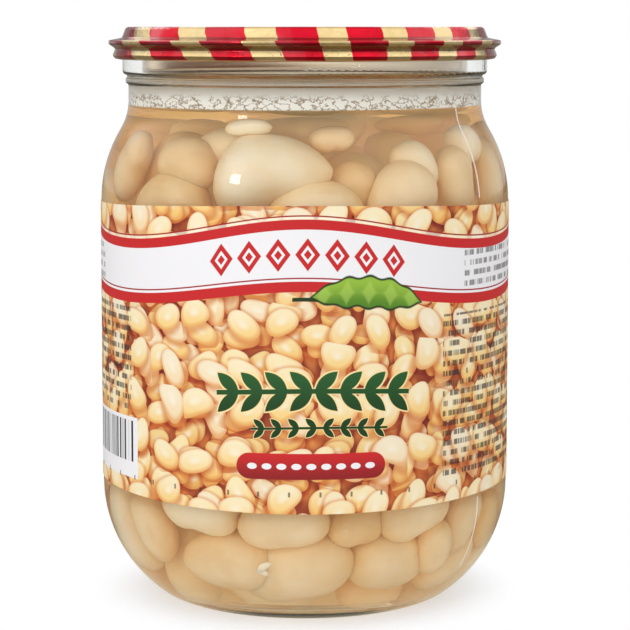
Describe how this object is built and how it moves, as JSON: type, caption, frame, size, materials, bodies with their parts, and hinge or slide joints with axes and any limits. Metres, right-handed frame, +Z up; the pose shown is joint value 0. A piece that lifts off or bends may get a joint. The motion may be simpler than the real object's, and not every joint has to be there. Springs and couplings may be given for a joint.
{
  "type": "jar of white beans",
  "caption": "Half-litre glass preserve jar of white beans in brine, with a striped seamed tinplate lid and a paper sleeve label.",
  "frame": {"origin": "middle of the base, on the plane that the jar stands on", "axes": "+Z up along the jar's axis; -Y towards the middle of the label's front; +X to the right as the label is read"},
  "size_m": [0.0882, 0.0885, 0.1226],
  "materials": {
    "glass": "clear, faintly green",
    "lacquered_tinplate": "glossy lacquer in red and pale gold stripes",
    "label_paper": "coated printed paper",
    "brine": "clear, slightly cloudy beige liquid full of white beans"
  },
  "bodies": {
    "root": {"jar_glass": "glass", "lid": "lacquered_tinplate", "label": "label_paper", "brine": "brine"}
  },
  "joints": []
}
